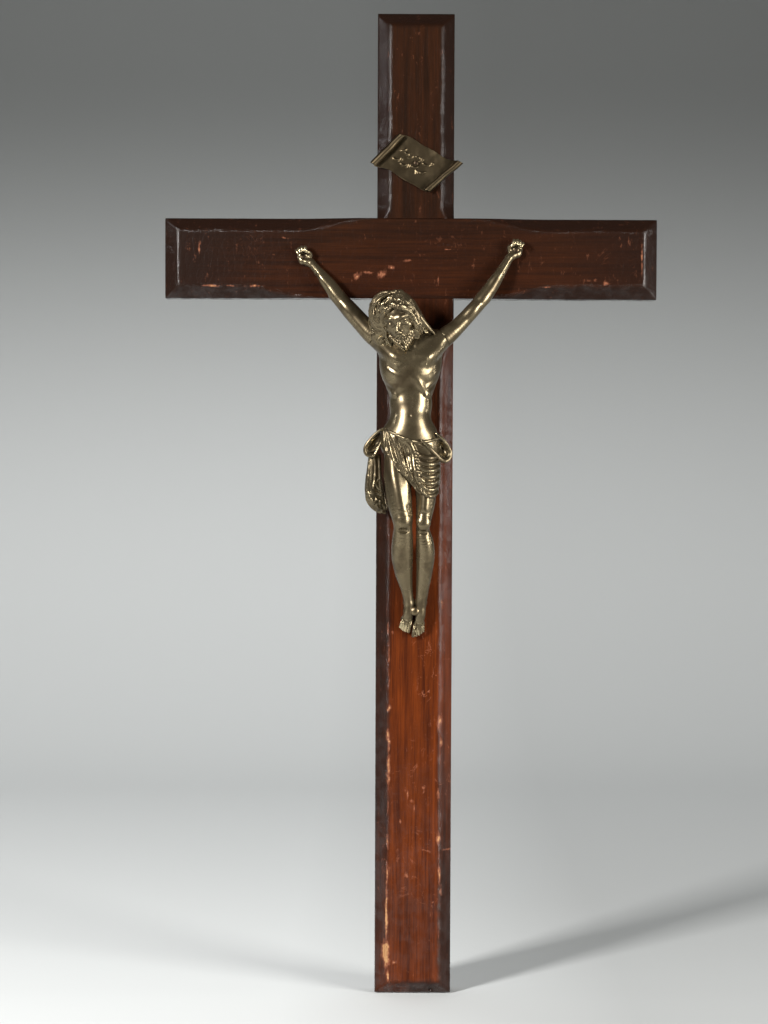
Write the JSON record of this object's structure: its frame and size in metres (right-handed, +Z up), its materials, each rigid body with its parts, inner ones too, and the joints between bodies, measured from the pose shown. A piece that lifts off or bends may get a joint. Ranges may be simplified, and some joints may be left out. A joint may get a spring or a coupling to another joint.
{
  "type": "wall crucifix",
  "caption": "Half-lapped wooden crucifix for wall or hand, with a cast brass corpus, a nailed title scroll and a swinging hanging ring recessed in its back.",
  "frame": {"origin": "on the flat back of the upright, on its centreline at the height of the crossbar's centreline", "axes": "+Z up along the upright, +Y out of the back towards the wall, +X towards the viewer's right; the figure faces -Y"},
  "size_m": [0.225, 0.0465, 0.45],
  "materials": {
    "varnished_wood": "mahogany-stained softwood under old, crackled gloss varnish, with pale raw wood on the worn arrises",
    "cast_brass": "polished pale aged brass, darker in the hollows",
    "dull_brass": "dull tarnished brass",
    "nail_brass": "yellow brass, worn",
    "dark_pin": "dark tarnish",
    "hanger_brass": "drawn wire and sheet, lightly tarnished",
    "fastener_brass": "turned brass screw"
  },
  "bodies": {
    "cross": {"upright": "varnished_wood", "crossbar": "varnished_wood", "lap_screws": "fastener_brass", "hanger_strap": "hanger_brass", "hanger_screw": "fastener_brass", "scroll": "dull_brass", "scroll_pin": "dark_pin", "corpus_body": "cast_brass", "corpus_right_arm": "cast_brass", "corpus_left_arm": "cast_brass", "right_hand_nail": "dark_pin", "left_hand_nail": "dark_pin", "feet_nail": "nail_brass"},
    "ring": {"hanger_ring": "hanger_brass"}
  },
  "joints": [
    {"name": "ring_hinge", "type": "hinge", "parent": "cross", "child": "ring", "pos_m": [0, -0.00212, 0.0805], "axis": [1, 0, 0], "range_deg": [0, 180]}
  ]
}
